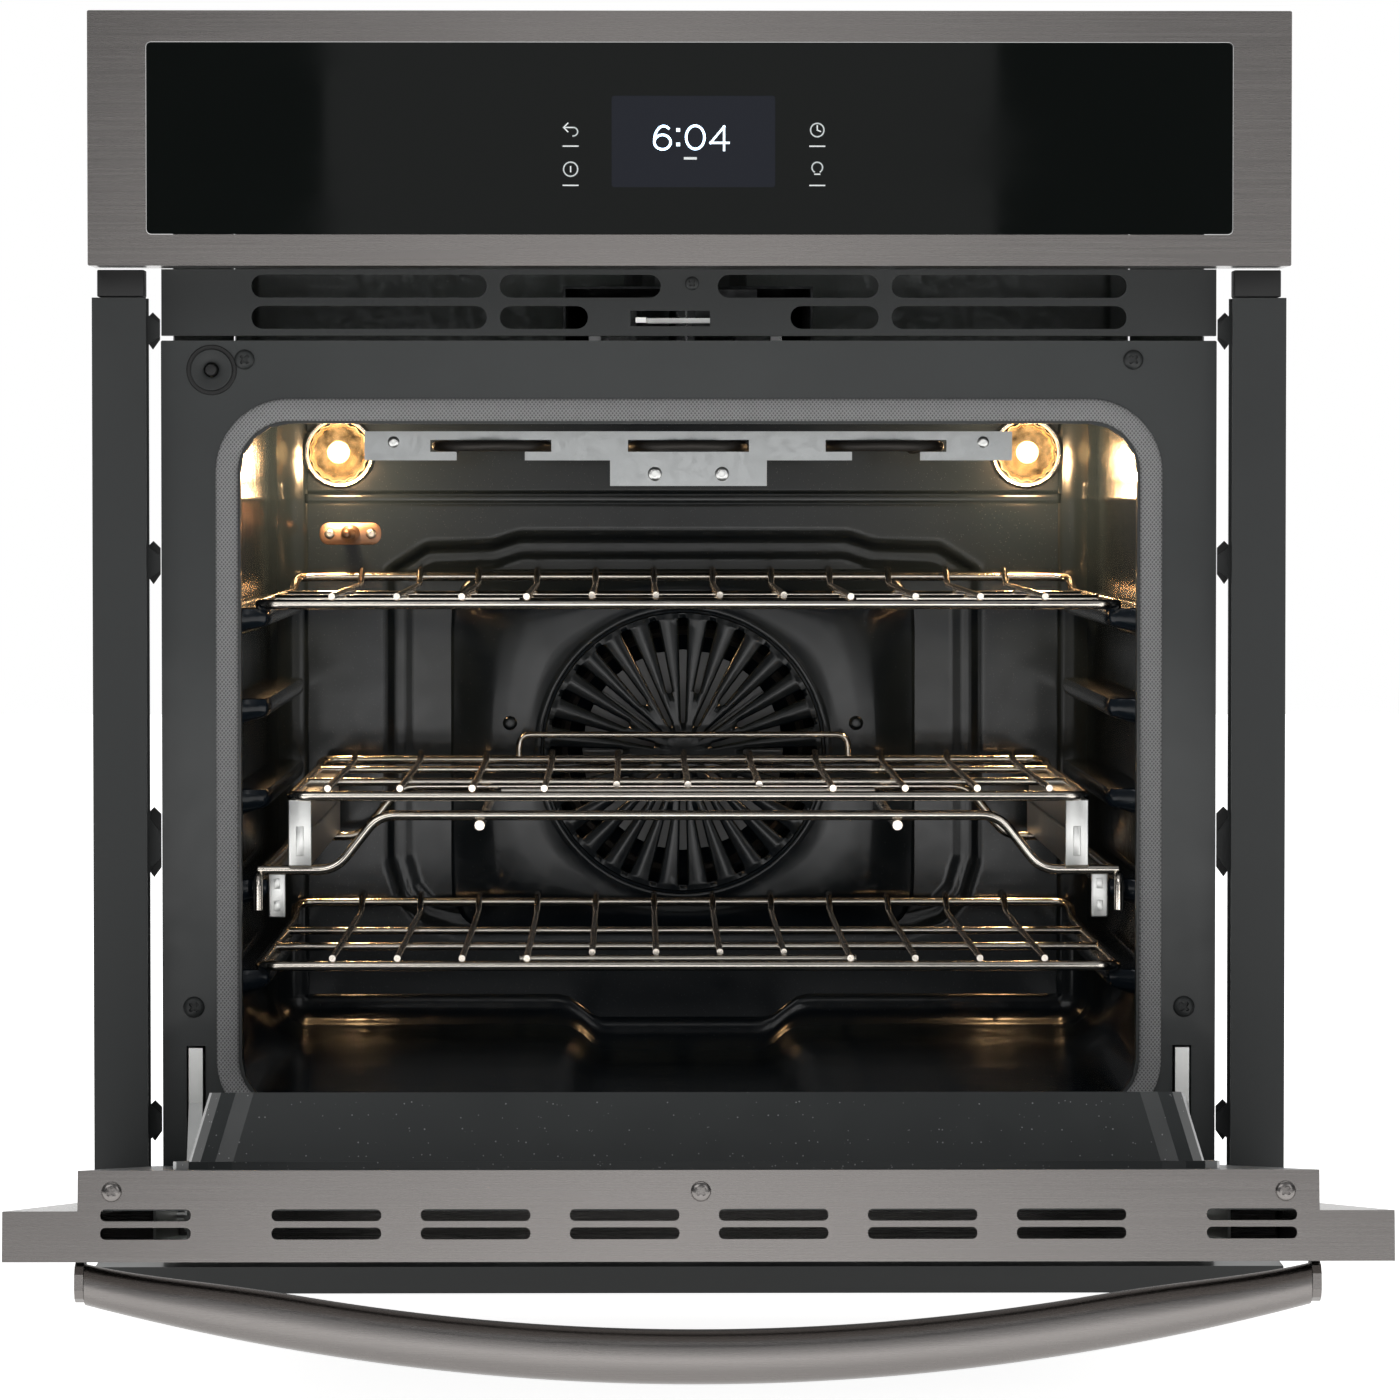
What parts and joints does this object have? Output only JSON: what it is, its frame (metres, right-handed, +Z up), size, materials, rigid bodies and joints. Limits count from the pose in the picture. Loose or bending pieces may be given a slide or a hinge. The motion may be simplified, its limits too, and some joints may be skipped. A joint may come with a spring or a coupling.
{
  "type": "wall oven",
  "caption": "Built-in electric wall oven with a drop-down door, sliding racks, convection fan, control panel and bowed handle, shown with the door open.",
  "frame": {"origin": "centre of the underside of the chassis base, which stands on the cabinet shelf", "axes": "+X to the right seen from the front, +Y into the wall, +Z up; the open door reaches towards -Y"},
  "size_m": [0.686, 1.1459, 0.736],
  "materials": {
    "galvanised_steel": "satin galvanised sheet",
    "black_stainless": "warm dark grey, fine horizontal brushing, satin",
    "dark_painted_steel": "satin dark grey paint",
    "speckled_porcelain": "semi-gloss dark grey porcelain enamel with fine white speckle",
    "cavity_enamel": "high-gloss blue-black enamel",
    "insulation_wool": "matt mineral wool",
    "woven_gasket": "matt grey knitted glass-fibre sleeve",
    "black_glass": "gloss, opaque black",
    "clear_glass": "gloss, clear",
    "circuit_board": "green solder mask",
    "black_plastic": "satin black plastic",
    "nickel_wire": "bright nickel plating",
    "bright_zinc": "bright zinc plating",
    "heating_element": "dark oxidised metal sheath",
    "aluminium_sheet": "mill finish",
    "sensor_brass": "copper-brown plated plate",
    "lamp_glass": "warm, lit glass dome",
    "lamp_ceramic": "white ceramic"
  },
  "bodies": {
    "root": {"base_pan": "galvanised_steel", "side_panel_left": "galvanised_steel", "side_panel_right": "galvanised_steel", "rear_panel": "galvanised_steel", "top_panel": "galvanised_steel", "front_frame": "speckled_porcelain", "cavity_floor": "cavity_enamel", "cavity_ceiling": "cavity_enamel", "cavity_wall_left": "cavity_enamel", "cavity_wall_right": "cavity_enamel", "cavity_back": "cavity_enamel", "insulation_jacket": "insulation_wool", "door_gasket": "woven_gasket", "control_frame": "black_stainless", "control_glass": "black_glass", "display_module": "black_plastic", "control_board": "circuit_board", "vent_trim": "dark_painted_steel", "side_trim_left": "dark_painted_steel", "side_trim_right": "dark_painted_steel", "bottom_trim": "dark_painted_steel", "hinge_receiver_left": "galvanised_steel", "hinge_receiver_right": "galvanised_steel", "hinge_arm_left": "bright_zinc", "hinge_arm_right": "bright_zinc", "broil_element": "heating_element", "broil_bracket": "galvanised_steel", "bake_element": "heating_element", "convection_element": "heating_element", "fan_cover": "cavity_enamel", "convection_motor": "galvanised_steel", "blower_housing": "galvanised_steel", "blower_motor": "galvanised_steel", "lamp_lens_left": "lamp_glass", "lamp_lens_right": "lamp_glass", "lamp_holder_left": "lamp_ceramic", "lamp_holder_right": "lamp_ceramic", "temperature_sensor": "sensor_brass", "latch_base": "galvanised_steel", "light_switch_body": "black_plastic", "junction_box": "galvanised_steel", "glide_cradle": "nickel_wire"},
    "door": {"door_skin": "black_stainless", "door_outer_glass": "black_glass", "door_vent_trim": "black_stainless", "door_liner": "speckled_porcelain", "door_inner_glass": "clear_glass", "door_middle_glass": "clear_glass", "handle_bar": "black_stainless", "handle_end_left": "bright_zinc", "handle_end_right": "bright_zinc", "hinge_channel_left": "bright_zinc", "hinge_channel_right": "bright_zinc"},
    "rack_upper": {"rack_upper": "nickel_wire"},
    "rack_lower": {"rack_lower": "nickel_wire"},
    "glide_rack": {"glide_rack": "nickel_wire"},
    "convection_fan": {"convection_fan": "aluminium_sheet"},
    "blower_wheel": {"blower_wheel": "aluminium_sheet"},
    "latch_hook": {"latch_hook": "bright_zinc"},
    "light_switch_plunger": {"light_switch_plunger": "black_plastic"}
  },
  "joints": [
    {"name": "door_hinge", "type": "hinge", "parent": "root", "child": "door", "pos_m": [0, -0.3215, 0.03], "axis": [1, 0, 0], "range_deg": [-84.24, 0]},
    {"name": "rack_upper_slide", "type": "slide", "parent": "root", "child": "rack_upper", "axis": [0, -1, 0], "range_m": [0, 0.25]},
    {"name": "rack_lower_slide", "type": "slide", "parent": "root", "child": "rack_lower", "axis": [0, -1, 0], "range_m": [0, 0.25]},
    {"name": "glide_rack_slide", "type": "slide", "parent": "root", "child": "glide_rack", "axis": [0, -1, 0], "range_m": [0, 0.3]},
    {"name": "convection_fan_spin", "type": "hinge", "parent": "root", "child": "convection_fan", "pos_m": [0, 0.2285, 0.2756], "axis": [0, -1, 0], "continuous": true},
    {"name": "blower_spin", "type": "hinge", "parent": "root", "child": "blower_wheel", "pos_m": [0, 0, 0.55], "axis": [0, 0, 1], "continuous": true},
    {"name": "latch_turn", "type": "hinge", "parent": "root", "child": "latch_hook", "pos_m": [0.02, -0.2545, 0.5448], "axis": [0, 0, 1], "range_deg": [0, 40]},
    {"name": "light_switch_press", "type": "slide", "parent": "root", "child": "light_switch_plunger", "axis": [0, 1, 0], "range_m": [0, 0.004], "stiffness_N_per_m": 400, "springref_m": -0.001}
  ]
}
